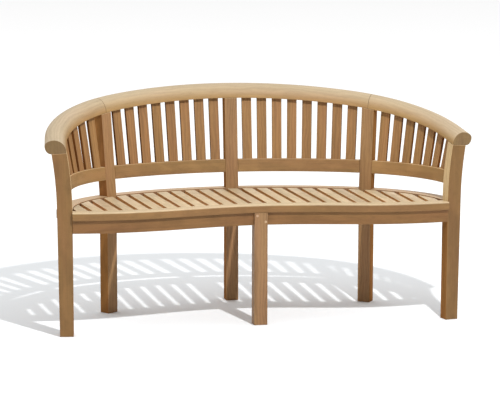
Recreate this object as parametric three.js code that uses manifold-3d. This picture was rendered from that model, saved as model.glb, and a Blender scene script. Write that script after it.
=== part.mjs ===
// Curved garden bench in solid teak. Six legs carry an S-shaped slatted seat, and a back of
// upright slats whose top rail falls from the middle of the back to become both arms.
// Millimetres, +Z up, +Y towards the back. Left and right are as seen from the front.

import * as THREE from "three";
import { mergeVertices } from "three/addons/utils/BufferGeometryUtils.js";
import Module from "manifold-3d";

// The plan line: the front faces of the back posts at seat height. It is an arc behind the
// middle, a tighter arc round each shoulder, and a short straight under each arm's end.
const backRadius = 905;
const shoulderRadius = 460;
const shoulderTurn = THREE.MathUtils.degToRad(27.5);
const armTurn = THREE.MathUtils.degToRad(82);
const sidePostTurn = THREE.MathUtils.degToRad(36.5);

// The front line of the seat: nearest the back in the middle, and swelling forward each side.
const seatDepth = 475;
const frontBulge = 80;
const bulgeReach = 525;
const armEndSetBack = 15;

// Heights, and the slopes of the back and of the top rail. The lower rail's place and height,
// and the top rail's fall over the seat's depth, are shares of the back's height.
const seatTop = 430;
const topRailUnderside = 770;
const lowerRailLiftShare = 0.182;
const lowerRailHeightShare = 0.141;
const topRailFallShare = 0.346;
const backLean = THREE.MathUtils.degToRad(4.8);
const topRailCant = THREE.MathUtils.degToRad(5.5);

// Posts and legs.
const postWidth = 48;
const postDepth = 41;
const armPostWidth = 52;
const armPostFootWidth = 47;
const armPostDepth = 43;
const frontLegWidth = 48;
const frontLegDepth = 43;
const frontLegSetBack = 1;

// The top rail's section: a flat underside, a long round inner side and a short round outer one.
const topRailWidth = 74;
const topRailHeight = 47;
const topRailCrownOut = 44;
const topRailOuterHeight = 29;
const topRailUndersideWidth = 51;

// The lower back rails and the slats of the back.
const lowerRailThickness = 28;
const backSlatWidth = 36.5;
const backSlatThickness = 11;
const backSlatFootSetBack = 4;
const backSlatHeadSetBack = 17;
const backSlatChamfer = 1.5;
const backSlatHousing = 10;
const backSlatsPerBackBay = 8;
const backSlatsPerArmBay = 7;
const armLastSlatGap = 9;
const armLastStepShare = 1.16;

// The seat: its front rail, its slats and the border round its back. The slats spread a little
// towards the back, from a point far in front of the bench.
const seatRailWidth = 55;
const seatRailThickness = 27;
const seatRailRound = 6;
const seatSlatsEachSide = 12;
const seatSlatGap = 12.5;
const seatFanRadius = 8000;
const seatSlatThickness = 20;
const seatSlatChamfer = 1.5;
const seatSlatEndGap = 1;
const tongueLength = 12;
const tongueWidth = 30;
const tongueThickness = 9;
const borderWidth = 55;
const borderThickness = 27;
const borderStandsProud = 3;

// Aprons under the seat, and the bearer from the front leg to the middle post.
const frontApronHeight = 45;
const frontApronThickness = 22;
const frontApronSetBack = 10;
const backApronHeight = 50;
const backApronThickness = 22;
const backApronSetBack = 8;
const bearerWidth = 30;
const bearerHeight = 40;

// Tenons, with the shoulder left round each one.
const tenonLength = 15;
const tenonThickness = 9;
const tenonShoulder = 8;
const bearerTenonLength = 11;
const postTenonWidth = 22;
const postTenonLength = 25;
const legTenonLength = 14;

// The fit between neighbours, the longest facets, and how far a cutting shape runs past.
const fit = 0.3;
const railStep = 36;
const edgeStep = 22;
const overrun = 120;
const curveSegments = 3;

const teakRoughness = 0.62;

const wasm = await Module();
wasm.setup();

// Places and heights worked out from the sizes above.
const backArc = backRadius * shoulderTurn;
const shoulderArc = shoulderRadius * (armTurn - shoulderTurn);
const shoulderEnd = planLine(backArc + shoulderArc).point;
const armReach = shoulderEnd.y - frontLine(shoulderEnd.x) - armEndSetBack;
const armEnd = backArc + shoulderArc + armReach / Math.sin(armTurn);
const sidePostAt = backArc + shoulderRadius * (sidePostTurn - shoulderTurn);
const backHeight = topRailUnderside - seatTop;
const topRailFall = (backHeight * topRailFallShare) / seatDepth;
const lowerRailBottom = seatTop + backHeight * lowerRailLiftShare;
const lowerRailTop = lowerRailBottom + backHeight * lowerRailHeightShare;
const borderTop = seatTop + borderStandsProud;
const borderBottom = borderTop - borderThickness;
const seatRailBottom = seatTop - seatRailThickness;
const seatSlatBottom = seatTop - seatSlatThickness;
const postStations = [-sidePostAt, 0, sidePostAt];

// A point of the plan line and the direction out of the bench there, at a distance along the
// line from its middle, negative to the left.
function planLine(distance) {
  const side = distance < 0 ? -1 : 1;
  const run = Math.abs(distance);
  const onShoulder = Math.max(run - backArc, 0) / shoulderRadius;
  const turn = Math.min(Math.min(run, backArc) / backRadius + onShoulder, armTurn);
  const first = Math.min(turn, shoulderTurn);
  const straight = Math.max(run - backArc - shoulderArc, 0);
  let x = backRadius * Math.sin(first);
  let y = backRadius * (Math.cos(first) - 1);
  x += shoulderRadius * (Math.sin(turn) - Math.sin(first)) + straight * Math.cos(armTurn);
  y += shoulderRadius * (Math.cos(turn) - Math.cos(first)) - straight * Math.sin(armTurn);
  return {
    point: new THREE.Vector2(side * x, y),
    out: new THREE.Vector2(side * Math.sin(turn), Math.cos(turn)),
  };
}

// How far the leaning back has moved outwards at a height.
function leanAt(height) {
  return Math.tan(backLean) * Math.max(height - seatTop, 0);
}

// Height of the sloping plane under the top rail at a depth.
function undersideAt(y) {
  return topRailUnderside + topRailFall * (y - leanAt(topRailUnderside));
}

// How far out the top rail's inner edge stands, where the leaning back meets the sloping plane.
function railEdgeOut(distance) {
  const { point, out } = planLine(distance);
  const rise = Math.tan(backLean) * topRailFall * out.y;
  return (Math.tan(backLean) * (undersideAt(point.y) - seatTop)) / (1 - rise);
}

// Depth of the seat's front edge at a place across the bench.
function frontLine(x) {
  return -seatDepth - (frontBulge * (1 - Math.cos((Math.PI * x) / bulgeReach))) / 2;
}

// Turns a closed geometry into a solid that can be joined and cut.
function solidOf(geometry) {
  const bare = geometry.clone();
  bare.deleteAttribute("normal");
  bare.deleteAttribute("uv");
  const merged = mergeVertices(bare);
  return new wasm.Manifold(
    new wasm.Mesh({
      numProp: 3,
      vertProperties: Float32Array.from(merged.attributes.position.array),
      triVerts: Uint32Array.from(merged.index.array),
    }),
  );
}

// Turns a solid back into a geometry for a mesh.
function geometryOf(solid) {
  const { vertProperties, triVerts } = solid.getMesh();
  const geometry = new THREE.BufferGeometry();
  geometry.setAttribute("position", new THREE.BufferAttribute(vertProperties, 3));
  geometry.setIndex(new THREE.BufferAttribute(triVerts, 1));
  geometry.computeVertexNormals();
  return geometry;
}

function unionOf(solids) {
  return solids.reduce((sum, solid) => sum.add(solid));
}

function cutBy(solid, cutters) {
  return cutters.reduce((rest, cutter) => rest.subtract(cutter), solid);
}

// A rectangle from one corner to the opposite one.
function rectangle(left, bottom, right, top) {
  const shape = new THREE.Shape();
  shape.moveTo(left, bottom);
  shape.lineTo(right, bottom);
  shape.lineTo(right, top);
  shape.lineTo(left, top);
  shape.closePath();
  return shape;
}

// A rectangle with its four corners cut off.
function chamferedRectangle(left, bottom, right, top, chamfer) {
  const shape = new THREE.Shape();
  shape.moveTo(left + chamfer, bottom);
  shape.lineTo(right - chamfer, bottom);
  shape.lineTo(right, bottom + chamfer);
  shape.lineTo(right, top - chamfer);
  shape.lineTo(right - chamfer, top);
  shape.lineTo(left + chamfer, top);
  shape.lineTo(left, top - chamfer);
  shape.lineTo(left, bottom + chamfer);
  shape.closePath();
  return shape;
}

// A straight moulding of one section, with every vertex carried onto a curve by `place`,
// which takes the distance along, the distance out and the height.
function bentMoulding(section, from, to, step, place) {
  const steps = Math.max(Math.ceil((to - from) / step), 1);
  const options = { depth: to - from, steps, bevelEnabled: false, curveSegments };
  const geometry = new THREE.ExtrudeGeometry(section, options);
  const position = geometry.attributes.position;
  for (let i = 0; i < position.count; i += 1) {
    const placed = place(from + position.getZ(i), position.getX(i), position.getY(i));
    position.setXYZ(i, placed.x, placed.y, placed.z);
  }
  return solidOf(geometry);
}

// Level along the plan line.
function levelOnPlan(distance, outwards, height) {
  const { point, out } = planLine(distance);
  return new THREE.Vector3(point.x + out.x * outwards, point.y + out.y * outwards, height);
}

// Along the plan line, leaning with the back.
function leaningOnPlan(distance, outwards, height) {
  return levelOnPlan(distance, outwards + leanAt(height), height);
}

// Along the plan line, on the top rail: its inner edge lies on a sloping plane, and the rail is
// canted down from there to its outer side.
function onTopRail(distance, outwards, above) {
  const placed = levelOnPlan(distance, outwards + railEdgeOut(distance), 0);
  placed.z = undersideAt(placed.y) + above - Math.tan(topRailCant) * outwards;
  return placed;
}

// Along the seat's front line.
function onFrontLine(x, inwards, height) {
  return new THREE.Vector3(x, frontLine(x) + inwards, height);
}

// A flat piece standing square to the plan line at one place: its section is drawn in the
// distance out and the height, and its width runs along the line.
function standingPiece(section, distance, width) {
  const { point, out } = planLine(distance);
  const options = { depth: width, steps: 1, bevelEnabled: false, curveSegments };
  const geometry = new THREE.ExtrudeGeometry(section, options);
  geometry.translate(0, 0, -width / 2);
  const frame = new THREE.Matrix4().makeBasis(
    new THREE.Vector3(out.x, out.y, 0),
    new THREE.Vector3(0, 0, 1),
    new THREE.Vector3(out.y, -out.x, 0),
  );
  frame.setPosition(point.x, point.y, 0);
  return solidOf(geometry.applyMatrix4(frame));
}

// An upright block by its two opposite corners.
function block(low, high) {
  const size = new THREE.Vector3().subVectors(high, low);
  const geometry = new THREE.BoxGeometry(size.x, size.y, size.z);
  geometry.translate(low.x + size.x / 2, low.y + size.y / 2, low.z + size.z / 2);
  return solidOf(geometry);
}

// Everything on the seat's side of the plan line, moved outwards, as one thick plate.
function seatField(outwards) {
  const reach = armEnd + overrun;
  const points = [];
  const count = Math.ceil((2 * reach) / edgeStep);
  for (let i = 0; i <= count; i += 1) {
    const { point, out } = planLine(reach * ((2 * i) / count - 1));
    points.push(point.addScaledVector(out, outwards));
  }
  const plate = new THREE.ExtrudeGeometry(new THREE.Shape(points), {
    depth: borderTop + overrun,
    bevelEnabled: false,
  });
  return solidOf(plate);
}

// Everything near a post that is above the top rail's underside.
function aboveUnderside(distance) {
  const section = rectangle(-overrun, -fit, overrun, 2 * overrun);
  return bentMoulding(section, distance - overrun, distance + overrun, postWidth, onTopRail);
}

// The top rail

function topRailSection() {
  const outerRound = topRailWidth - topRailCrownOut;
  const lowerRound = topRailWidth - topRailUndersideWidth;
  const shape = new THREE.Shape();
  shape.moveTo(0, 0);
  shape.lineTo(topRailUndersideWidth, 0);
  shape.absellipse(
    topRailUndersideWidth, topRailOuterHeight, lowerRound, topRailOuterHeight,
    -Math.PI / 2, 0, false, 0,
  );
  shape.absellipse(
    topRailCrownOut, topRailOuterHeight, outerRound, topRailHeight - topRailOuterHeight,
    0, Math.PI / 2, false, 0,
  );
  shape.absellipse(
    topRailCrownOut, 0, topRailCrownOut, topRailHeight,
    Math.PI / 2, Math.PI, false, 0,
  );
  return shape;
}

function topRail(from, to) {
  return bentMoulding(topRailSection(), from, to, railStep, onTopRail);
}

// A square tenon on a post's head, `grown` all round for the mortice that takes it.
function postHeadTenon(distance, middleOut, grown) {
  const edge = railEdgeOut(distance);
  const foot = onTopRail(distance, middleOut, 0);
  const half = postTenonWidth / 2 + grown;
  const section = rectangle(
    edge + middleOut - half, foot.z - postTenonLength,
    edge + middleOut + half, foot.z + postTenonLength + grown,
  );
  return standingPiece(section, distance, postTenonWidth + 2 * grown);
}

// Posts and legs

const armPostAt = armEnd - armPostDepth / 2;

function backPost(distance) {
  const head = undersideAt(planLine(distance).point.y + postDepth) + overrun;
  const lean = leanAt(head);
  const shape = new THREE.Shape();
  shape.moveTo(0, 0);
  shape.lineTo(postDepth, 0);
  shape.lineTo(postDepth, seatTop);
  shape.lineTo(postDepth + lean, head);
  shape.lineTo(lean, head);
  shape.lineTo(0, seatTop);
  shape.closePath();
  const post = standingPiece(shape, distance, postWidth).subtract(aboveUnderside(distance));
  return post.add(postHeadTenon(distance, postDepth / 2, 0));
}

// An arm post tapers a little to its foot and bends outwards above the seat.
function armPost(side) {
  const distance = side * armPostAt;
  const underRail = onTopRail(distance, 0, 0).z;
  const head = underRail + overrun;
  const flare = leanAt(underRail) * ((head - seatTop) / (underRail - seatTop)) ** 2;
  const bend = (seatTop + head) / 2;
  const shape = new THREE.Shape();
  shape.moveTo(0, 0);
  shape.lineTo(armPostFootWidth, 0);
  shape.lineTo(armPostWidth, seatTop);
  shape.quadraticCurveTo(armPostWidth, bend, armPostWidth + flare, head);
  shape.lineTo(flare, head);
  shape.quadraticCurveTo(0, bend, 0, seatTop);
  shape.closePath();
  const post = standingPiece(shape, distance, armPostDepth).subtract(aboveUnderside(distance));
  return post.add(postHeadTenon(distance, armPostWidth / 2, 0));
}

const frontLegFace = frontLine(0) + frontLegSetBack;
const frontLegBack = frontLegFace + frontLegDepth;

// The tenon of the front leg in the seat's front rail.
function frontLegTenon(grown) {
  const half = postTenonWidth / 2 + grown;
  const middle = (frontLegFace + frontLegBack) / 2;
  return block(
    new THREE.Vector3(-half, middle - half, seatRailBottom - legTenonLength),
    new THREE.Vector3(half, middle + half, seatRailBottom + legTenonLength + grown),
  );
}

function frontLeg() {
  const leg = block(
    new THREE.Vector3(-frontLegWidth / 2, frontLegFace, 0),
    new THREE.Vector3(frontLegWidth / 2, frontLegBack, seatRailBottom - fit),
  );
  return leg.add(frontLegTenon(0));
}

// The bays between the posts

const bays = [
  { name: "left_arm", from: -armEnd + armPostDepth, to: -sidePostAt, slats: backSlatsPerArmBay },
  { name: "left_back", from: -sidePostAt, to: 0, slats: backSlatsPerBackBay },
  { name: "right_back", from: 0, to: sidePostAt, slats: backSlatsPerBackBay },
  { name: "right_arm", from: sidePostAt, to: armEnd - armPostDepth, slats: backSlatsPerArmBay },
];

// The clear length between the two posts of a bay, less a gap at each end.
function clearOf(bay, gap) {
  const half = postWidth / 2;
  const atLeft = bay.from < -sidePostAt ? 0 : half;
  const atRight = bay.to > sidePostAt ? 0 : half;
  return { from: bay.from + atLeft + gap, to: bay.to - atRight - gap };
}

// A curved rail between two posts: its body, and the tenon at each of its ends.
function railBody(bay, low, high, thickness, setBack, place) {
  const { from, to } = clearOf(bay, fit);
  const section = rectangle(setBack, low, setBack + thickness, high);
  return bentMoulding(section, from, to, railStep, place);
}

function railTenons(bay, low, high, thickness, setBack, place, grown) {
  const { from, to } = clearOf(bay, fit);
  const middle = setBack + thickness / 2;
  const section = rectangle(
    middle - tenonThickness / 2 - grown, low + tenonShoulder - grown,
    middle + tenonThickness / 2 + grown, high - tenonShoulder + grown,
  );
  const reach = tenonLength + grown;
  return unionOf([
    bentMoulding(section, from - reach, from + tenonLength, railStep, place),
    bentMoulding(section, to - tenonLength, to + reach, railStep, place),
  ]);
}

function lowerRailSizes(bay) {
  return [bay, lowerRailBottom, lowerRailTop, lowerRailThickness, 0, leaningOnPlan];
}

function backApronSizes(bay) {
  const top = borderBottom - fit;
  return [bay, top - backApronHeight, top, backApronThickness, backApronSetBack, levelOnPlan];
}

// The slats of the back

// One slat, or the housing that takes it where `grown` is the fit all round. Its foot stands
// near the front of the lower rail and its head near the middle of the top rail.
function backSlat(distance, grown) {
  const { point, out } = planLine(distance);
  const halfWidth = backSlatWidth / 2 + grown;
  const halfThickness = backSlatThickness / 2 + grown;
  const footOut = backSlatFootSetBack + backSlatThickness / 2 + leanAt(lowerRailTop);
  const headOut = backSlatHeadSetBack + backSlatThickness / 2;
  const foot = new THREE.Vector2(footOut, lowerRailTop);
  const head = new THREE.Vector2(
    headOut + railEdgeOut(distance), onTopRail(distance, headOut, 0).z,
  );
  const along = head.clone().sub(foot).normalize();
  const start = foot.addScaledVector(along, -backSlatHousing - grown);
  const length = head.distanceTo(start) + backSlatHousing + grown;
  const section = grown > 0
    ? rectangle(-halfThickness, -halfWidth, halfThickness, halfWidth)
    : chamferedRectangle(-halfThickness, -halfWidth, halfThickness, halfWidth, backSlatChamfer);
  const geometry = new THREE.ExtrudeGeometry(section, { depth: length, bevelEnabled: false });
  const frame = new THREE.Matrix4().makeBasis(
    new THREE.Vector3(out.x * along.y, out.y * along.y, -along.x),
    new THREE.Vector3(-out.y, out.x, 0),
    new THREE.Vector3(out.x * along.x, out.y * along.x, along.y),
  );
  frame.setPosition(point.x + out.x * start.x, point.y + out.y * start.x, start.y);
  return solidOf(geometry.applyMatrix4(frame));
}

// The middles of a bay's slats. Between two back posts the gaps are all equal. Towards an arm
// the first gap is the same, and the last slat stands close to the arm post, after a wider step.
function slatPlaces(bay) {
  const clear = sidePostAt - postWidth;
  const gap = (clear - backSlatsPerBackBay * backSlatWidth) / (backSlatsPerBackBay + 1);
  const first = postWidth / 2 + gap + backSlatWidth / 2;
  const start = sidePostAt + first;
  const end = armEnd - armPostDepth - armLastSlatGap - backSlatWidth / 2;
  const armPitch = (end - start) / (bay.slats - 2 + armLastStepShare);
  const onArm = bay.from < -sidePostAt || bay.to > sidePostAt;
  const side = bay.from < 0 ? -1 : 1;
  return Array.from({ length: bay.slats }, (_, i) => {
    const onArmAt = i < bay.slats - 1 ? start + i * armPitch : end;
    return side * (onArm ? onArmAt : first + i * (gap + backSlatWidth));
  });
}

// The seat

function seatRailSection() {
  const shape = new THREE.Shape();
  shape.moveTo(0, seatRailBottom);
  shape.lineTo(seatRailWidth, seatRailBottom);
  shape.lineTo(seatRailWidth, seatTop);
  shape.lineTo(seatRailRound, seatTop);
  shape.absarc(seatRailRound, seatTop - seatRailRound, seatRailRound, Math.PI / 2, Math.PI);
  return shape;
}

const armInside = planLine(armEnd).point.x;
const seatSlatPitch = armInside / seatSlatsEachSide;
const seatSlatWidth = seatSlatPitch - seatSlatGap;

// Turns a piece made on the middle line to its place in the fan of seat slats.
function fanned(solid, place) {
  const turn = THREE.MathUtils.radToDeg((-place * seatSlatPitch) / seatFanRadius);
  return solid
    .translate([0, seatFanRadius, 0])
    .rotate([0, 0, turn])
    .translate([0, -seatFanRadius, 0]);
}

// Where the seat's front line crosses a seat slat, on the middle line before the slat is fanned.
function slatFront(place) {
  const turn = (place * seatSlatPitch) / seatFanRadius;
  const x = (seatFanRadius - seatDepth) * Math.tan(turn);
  return Math.hypot(x, seatFanRadius + frontLine(x)) - seatFanRadius;
}

// A seat slat runs from inside the front rail to the back, past the border's edge.
function seatSlatBlank(place) {
  const half = seatSlatWidth / 2;
  const chamfer = seatSlatChamfer;
  const shape = new THREE.Shape();
  shape.moveTo(-half, seatSlatBottom);
  shape.lineTo(half, seatSlatBottom);
  shape.lineTo(half, seatTop - chamfer);
  shape.lineTo(half - chamfer, seatTop);
  shape.lineTo(chamfer - half, seatTop);
  shape.lineTo(-half, seatTop - chamfer);
  shape.closePath();
  const start = slatFront(place) + seatRailWidth / 2;
  const geometry = new THREE.ExtrudeGeometry(shape, {
    depth: overrun - start,
    bevelEnabled: false,
  });
  geometry.rotateX(Math.PI / 2);
  geometry.translate(0, overrun, 0);
  return fanned(solidOf(geometry), place);
}

// The tongue on the back end of a seat slat, `grown` all round for its mortice.
function seatTongue(place, grown) {
  const half = tongueWidth / 2 + grown;
  const middle = (seatTop + seatSlatBottom) / 2;
  const halfHeight = tongueThickness / 2 + grown;
  const blank = block(
    new THREE.Vector3(-half, slatFront(place) + seatRailWidth, middle - halfHeight),
    new THREE.Vector3(half, overrun, middle + halfHeight),
  );
  return fanned(blank, place).intersect(seatField(tongueLength + grown));
}

// Whether a slat has a tongue: not along an arm, and not where a post stands behind its end.
function hasTongue(place) {
  const room = rectangle(0, seatSlatBottom, postDepth, seatTop);
  const rooms = postStations.map((at) => standingPiece(room, at, postWidth + 2 * tenonShoulder));
  const tongue = seatTongue(place, fit);
  return Math.abs(place) < seatSlatsEachSide && rooms.every((it) => tongue.intersect(it).isEmpty());
}

// The front rail with the slats that are let into it: they come as one glued-up panel.
function seatPanel() {
  const places = [];
  for (let place = -seatSlatsEachSide; place <= seatSlatsEachSide; place += 1) {
    places.push(place);
  }
  const reach = armInside + overrun / 2;
  const rail = bentMoulding(seatRailSection(), -reach, reach, railStep, onFrontLine);
  const slats = unionOf(places.map((place) => seatSlatBlank(place)));
  const tongued = places.filter((place) => hasTongue(place));
  const panel = rail
    .intersect(seatField(-fit))
    .add(slats.intersect(seatField(-seatSlatEndGap)))
    .add(unionOf(tongued.map((place) => seatTongue(place, 0))))
    .subtract(frontLegTenon(fit));
  return { panel, mortices: unionOf(tongued.map((place) => seatTongue(place, fit))) };
}

// A length of border runs from post to post, notched round the posts and over the slat tongues.
function seatBorder(bay, mortices) {
  const section = rectangle(0, borderBottom, borderWidth, borderTop);
  const endGap = fit / 2;
  const from = bay.from + (bay.from < -sidePostAt ? fit : endGap);
  const to = bay.to - (bay.to > sidePostAt ? fit : endGap);
  const border = bentMoulding(section, from, to, edgeStep, levelOnPlan);
  const notch = rectangle(
    -postDepth, borderBottom - fit, postDepth + leanAt(borderTop) + fit, borderTop + fit,
  );
  const notches = postStations.map((at) => standingPiece(notch, at, postWidth + 2 * fit));
  return cutBy(border, [...notches, mortices]);
}

// Aprons and the bearer

const frontApronBottom = seatRailBottom - fit - frontApronHeight;

function frontApronPiece(side, inFrom, inTo, low, high, start, field) {
  const section = rectangle(inFrom, low, inTo, high);
  const reach = armInside + overrun / 2;
  const from = side < 0 ? -reach : start;
  const to = side < 0 ? -start : reach;
  return bentMoulding(section, from, to, railStep, onFrontLine).intersect(seatField(field));
}

function frontApronTenons(side, grown) {
  const middle = frontApronSetBack + frontApronThickness / 2;
  const half = tenonThickness / 2 + grown;
  return frontApronPiece(
    side, middle - half, middle + half,
    frontApronBottom + tenonShoulder - grown, seatRailBottom - tenonShoulder + grown,
    frontLegWidth / 2 - tenonLength - grown, tenonLength + grown,
  );
}

function frontApron(side) {
  const inner = frontApronSetBack + frontApronThickness;
  const body = frontApronPiece(
    side, frontApronSetBack, inner, frontApronBottom, seatRailBottom - fit,
    frontLegWidth / 2 + fit, -fit,
  );
  return body.add(frontApronTenons(side, 0));
}

function bearerTenons(grown) {
  const half = tenonThickness / 2 + grown;
  const top = seatRailBottom - fit;
  return block(
    new THREE.Vector3(
      -half, frontLegBack - bearerTenonLength - grown, top - bearerHeight + tenonShoulder - grown,
    ),
    new THREE.Vector3(half, bearerTenonLength + grown, top - tenonShoulder + grown),
  );
}

// The bearer steps down at its front end to pass under the seat's front rail.
function bearer() {
  const half = bearerWidth / 2;
  const low = seatRailBottom - fit - bearerHeight;
  const railBack = frontLine(0) + seatRailWidth;
  const underRail = block(
    new THREE.Vector3(-half, frontLegBack + fit, low),
    new THREE.Vector3(half, -fit, seatRailBottom - fit),
  );
  const underSlats = block(
    new THREE.Vector3(-half, Math.max(railBack, frontLegBack) + fit, low),
    new THREE.Vector3(half, -fit, seatSlatBottom - fit),
  );
  return underRail.add(underSlats).add(bearerTenons(0));
}

// Finishes: teak, a little different from board to board.
function teak(hex) {
  return new THREE.MeshStandardMaterial({ color: hex, roughness: teakRoughness, metalness: 0 });
}

const bench = new THREE.Group();

function addPiece(name, solid, hex) {
  const mesh = new THREE.Mesh(geometryOf(solid), teak(hex));
  mesh.name = name;
  bench.add(mesh);
}

// Everything that is let into something else.
const { panel, mortices: tongueMortices } = seatPanel();
const lowerRailMortices = bays.map((bay) => railTenons(...lowerRailSizes(bay), fit));
const backApronMortices = bays.map((bay) => railTenons(...backApronSizes(bay), fit));
const frontApronMortices = [-1, 1].map((side) => frontApronTenons(side, fit));
const bearerMortice = bearerTenons(fit);
const postMortices = [
  ...lowerRailMortices, ...backApronMortices, ...frontApronMortices, bearerMortice,
];

// Posts and legs.
addPiece("arm_post_left", cutBy(armPost(-1), postMortices), 0xa9794a);
addPiece("arm_post_right", cutBy(armPost(1), postMortices), 0xab7b4c);
addPiece("side_back_post_left", cutBy(backPost(-sidePostAt), postMortices), 0xb0855a);
addPiece("centre_back_post", cutBy(backPost(0), postMortices), 0xad8052);
addPiece("side_back_post_right", cutBy(backPost(sidePostAt), postMortices), 0xae8154);
addPiece("centre_front_leg", cutBy(frontLeg(), [...frontApronMortices, bearerMortice]), 0xa87848);

// The top rail in three lengths, jointed over the side posts.
const headTenons = [
  ...postStations.map((at) => postHeadTenon(at, postDepth / 2, fit)),
  ...[-armPostAt, armPostAt].map((at) => postHeadTenon(at, armPostWidth / 2, fit)),
];
const slatHousings = bays.map((bay) => slatPlaces(bay).map((at) => backSlat(at, fit)));
const railEnds = [-armEnd, -sidePostAt, sidePostAt, armEnd];
const railNames = ["top_rail_left_arm", "top_rail_back", "top_rail_right_arm"];
railNames.forEach((name, i) => {
  const from = railEnds[i] + (i > 0 ? fit / 2 : 0);
  const to = railEnds[i + 1] - (i < railNames.length - 1 ? fit / 2 : 0);
  addPiece(name, cutBy(topRail(from, to), [...headTenons, ...slatHousings.flat()]), 0xcfae83);
});

// The lower back rails, the slats, the aprons and the border, bay by bay.
bays.forEach((bay, i) => {
  const body = railBody(...lowerRailSizes(bay)).add(railTenons(...lowerRailSizes(bay), 0));
  addPiece(`lower_back_rail_${bay.name}`, cutBy(body, slatHousings[i]), 0xb48a5c);
  slatPlaces(bay).forEach((at, n) => {
    addPiece(`back_slat_${bay.name}_${n + 1}`, backSlat(at, 0), n % 2 ? 0xac7f52 : 0xb3875b);
  });
  const apron = railBody(...backApronSizes(bay)).add(railTenons(...backApronSizes(bay), 0));
  addPiece(`back_apron_${bay.name}`, apron, 0xa57646);
  addPiece(`seat_border_${bay.name}`, seatBorder(bay, tongueMortices), 0xd9bc93);
});

// The seat panel and what carries it in front and in the middle.
addPiece("seat_front_rail_and_slats", panel, 0xddc29b);
addPiece("front_apron_left", frontApron(-1), 0xa9794a);
addPiece("front_apron_right", frontApron(1), 0xab7b4c);
addPiece("centre_bearer", bearer(), 0xa57646);

// The origin is the middle of the footprint, on the ground.
const box = new THREE.Box3().setFromObject(bench);
const middle = box.getCenter(new THREE.Vector3());
bench.position.set(-middle.x, -middle.y, -box.min.z);

export default bench;
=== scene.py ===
"""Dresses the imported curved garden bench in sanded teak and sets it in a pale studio."""

import logging
import math
import random
from dataclasses import dataclass, field
from enum import Enum
from typing import Callable, Sequence

import bmesh
import bpy
from mathutils import Matrix, Vector


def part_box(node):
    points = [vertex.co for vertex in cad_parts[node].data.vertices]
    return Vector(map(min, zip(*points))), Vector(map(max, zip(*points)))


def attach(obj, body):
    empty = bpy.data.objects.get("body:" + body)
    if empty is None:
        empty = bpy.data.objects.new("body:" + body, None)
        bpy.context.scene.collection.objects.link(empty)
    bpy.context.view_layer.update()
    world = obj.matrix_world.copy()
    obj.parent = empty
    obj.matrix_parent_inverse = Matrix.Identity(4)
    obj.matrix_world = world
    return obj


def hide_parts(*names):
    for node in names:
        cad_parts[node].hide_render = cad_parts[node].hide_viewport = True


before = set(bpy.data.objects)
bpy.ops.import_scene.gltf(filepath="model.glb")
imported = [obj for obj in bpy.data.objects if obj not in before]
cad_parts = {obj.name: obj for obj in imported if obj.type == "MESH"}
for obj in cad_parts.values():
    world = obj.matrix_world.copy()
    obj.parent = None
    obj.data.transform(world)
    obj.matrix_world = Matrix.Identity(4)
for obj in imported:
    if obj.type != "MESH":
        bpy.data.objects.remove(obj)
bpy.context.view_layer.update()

LOG = logging.getLogger("curved_bench")
Pair = tuple[float, float]
Triple = tuple[float, float, float]
Colour = Triple
Place = Callable[[Vector], Vector]
Socket = bpy.types.NodeSocket

FIT = 0.0003  # metres between two pieces that meet
ON_CUT = 1e-7  # metres from a cut within which a corner lies on it
BEND_STEP = 0.02  # metres between the cuts that let a board follow a curve
OVERRUN = 0.06  # metres that a board runs past an arm before it is sawn off there
GRAIN_SHIFT = 40  # metres that a piece's grain is shifted at most, so that no two look alike
EASED_FROM = math.radians(40)  # the turn from which an edge is eased
SHARP_FROM = math.radians(38)  # the turn from which an edge of a finished piece looks sharp
SQUARE = 0.85  # how much of its normal lies along an axis if a face is square to it


def linear(shown: Colour) -> Colour:
    """Turns a colour that a screen shows, from 0 to 255, into the linear one that shaders take."""
    shares = [channel / 255 for channel in shown]
    return tuple(c / 12.92 if c <= 0.04045 else ((c + 0.055) / 1.055) ** 2.4 for c in shares)


def rectangle(left: float, bottom: float, right: float, top: float) -> list[Pair]:
    """Returns the corners of a rectangle."""
    return [(left, bottom), (right, bottom), (right, top), (left, top)]


def link(name: str, data: bpy.types.ID) -> bpy.types.Object:
    """Makes an object of a mesh, a lamp or a camera, and links it to the scene."""
    made = bpy.data.objects.new(name, data)
    bpy.context.scene.collection.objects.link(made)
    return made


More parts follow.
